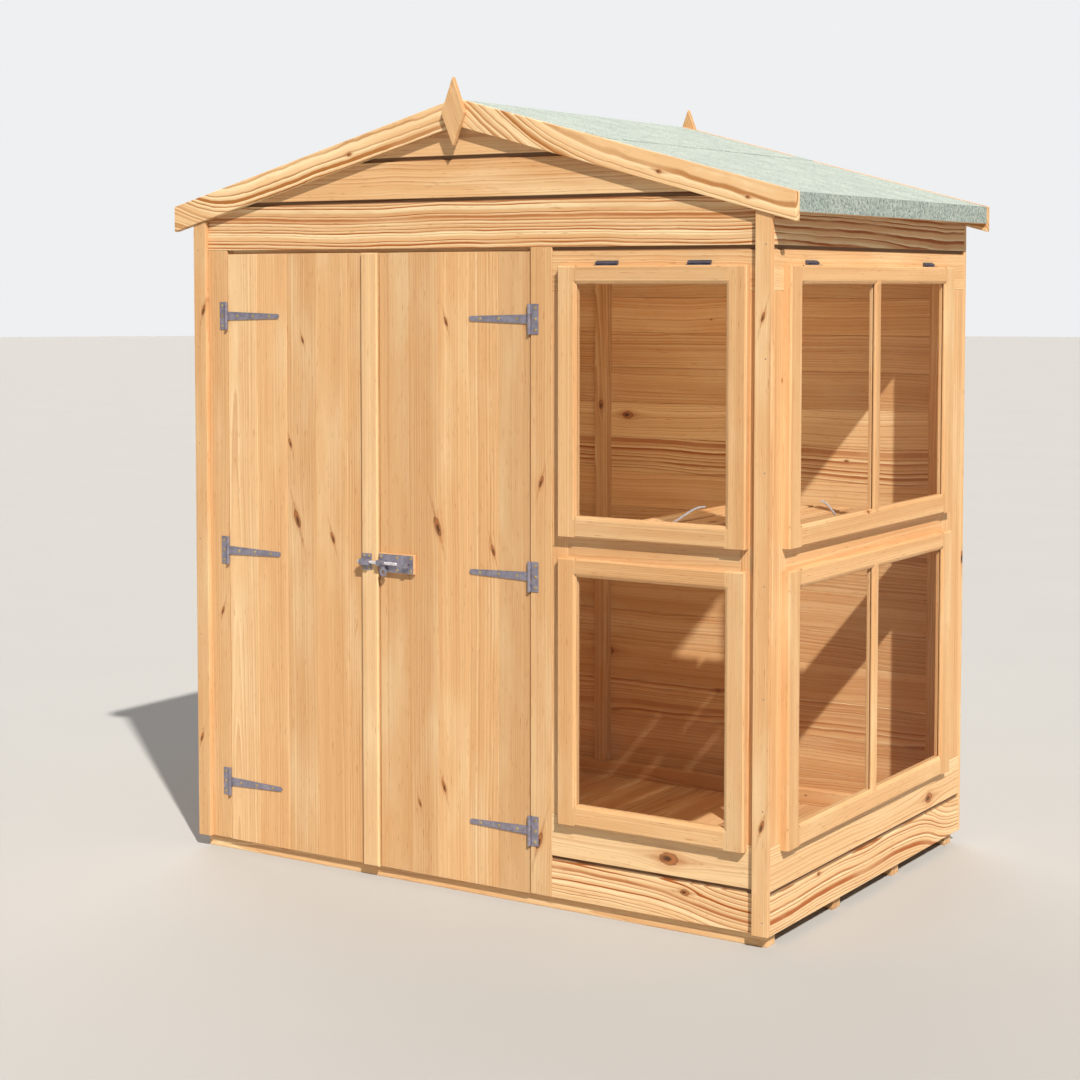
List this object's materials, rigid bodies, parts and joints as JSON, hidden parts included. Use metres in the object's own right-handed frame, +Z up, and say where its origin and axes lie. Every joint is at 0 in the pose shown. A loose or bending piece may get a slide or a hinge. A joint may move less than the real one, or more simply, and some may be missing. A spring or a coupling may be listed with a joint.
{
  "type": "potting shed",
  "caption": "Timber potting shed with an apex felt roof, boarded doors with a pad bolt, top-hung windows on the front and side, and a slatted bench inside.",
  "frame": {"origin": "centre of the footprint on the ground, under the bearers", "axes": "+Z up, +X to the right seen from the doors, +Y to the back, so the doors face -Y"},
  "size_m": [1.93, 1.258, 2.123],
  "materials": {
    "cladding": "honey pine, planed, lightly sealed",
    "doors": "honey pine, planed, lightly sealed",
    "joinery": "pale pine, planed smooth",
    "framing": "sawn and planed softwood",
    "felt": "pale green-grey mineral roofing felt",
    "zinc": "zinc-grey hinges and bolt",
    "screws": "yellow-passivated screws",
    "glass": "clear glazing"
  },
  "bodies": {
    "shed": {"back_cladding": "cladding", "back_wall_frame": "framing", "bench_slats": "framing", "bench_supports": "framing", "corner_strips": "cladding", "finials": "cladding", "floor_bearers": "framing", "floor_boards": "framing", "front_bargeboards": "cladding", "front_cladding": "cladding", "front_lower_glass": "glass", "front_lower_sash": "joinery", "front_wall_frame": "framing", "front_window_surround": "joinery", "hinge_pins": "zinc", "hinge_plate_screws": "screws", "hinge_plates": "zinc", "left_cladding": "cladding", "left_door_post": "doors", "left_felt": "felt", "left_roof_panel": "framing", "left_wall_frame": "framing", "lower_beads": "joinery", "rear_bargeboards": "cladding", "ridge_felt": "felt", "right_cladding": "cladding", "right_door_post": "doors", "right_felt": "felt", "right_lower_glass": "glass", "right_lower_sash": "joinery", "right_roof_panel": "framing", "right_wall_frame": "framing", "right_window_surround": "joinery", "roof_battens": "framing", "sash_hinge_leaves": "zinc", "stay_pegs": "zinc"},
    "left_door": {"left_door_boards": "doors", "left_door_ledges": "framing", "door_cover_strip": "doors", "left_hinge_straps": "zinc", "left_door_screws": "screws", "bolt_keeper": "zinc"},
    "right_door": {"right_door_boards": "doors", "right_door_ledges": "framing", "right_hinge_straps": "zinc", "right_door_screws": "screws", "bolt_packer": "doors", "bolt_plate": "zinc"},
    "bolt": {"bolt_rod": "zinc"},
    "bolt_handle": {"bolt_handle": "zinc"},
    "front_window": {"front_upper_sash": "joinery", "front_upper_glass": "glass", "front_upper_beads": "joinery", "front_sash_hardware": "zinc"},
    "right_window": {"right_upper_sash": "joinery", "right_upper_glass": "glass", "right_upper_beads": "joinery", "right_sash_hardware": "zinc"},
    "front_stay": {"front_stay": "zinc"},
    "right_stay": {"right_stay": "zinc"}
  },
  "joints": [
    {"name": "left_door_hinge", "type": "hinge", "parent": "shed", "child": "left_door", "pos_m": [-0.79, -0.6, 0.851], "axis": [0, 0, -1], "range_deg": [0, 160]},
    {"name": "right_door_hinge", "type": "hinge", "parent": "shed", "child": "right_door", "pos_m": [0.2145, -0.6, 0.851], "axis": [0, 0, 1], "range_deg": [0, 160]},
    {"name": "bolt_slide", "type": "slide", "parent": "right_door", "child": "bolt", "axis": [1, 0, 0], "range_m": [0, 0.061]},
    {"name": "bolt_handle_swing", "type": "hinge", "parent": "bolt", "child": "bolt_handle", "pos_m": [-0.2375, -0.614, 0.855], "axis": [-1, 0, 0], "range_deg": [0, 90]},
    {"name": "front_window_hinge", "type": "hinge", "parent": "shed", "child": "front_window", "pos_m": [0.5725, -0.6, 1.6455], "axis": [1, 0, 0], "range_deg": [-30, 0]},
    {"name": "right_window_hinge", "type": "hinge", "parent": "shed", "child": "right_window", "pos_m": [0.905, -0.035, 1.6455], "axis": [0, 1, 0], "range_deg": [-30, 0]},
    {"name": "front_stay_swing", "type": "hinge", "parent": "front_window", "child": "front_stay", "pos_m": [0.588, -0.588, 0.9985], "axis": [0, 0, 1], "range_deg": [0, 90]},
    {"name": "right_stay_swing", "type": "hinge", "parent": "right_window", "child": "right_stay", "pos_m": [0.893, -0.19, 0.9985], "axis": [0, 0, -1], "range_deg": [0, 90]}
  ]
}
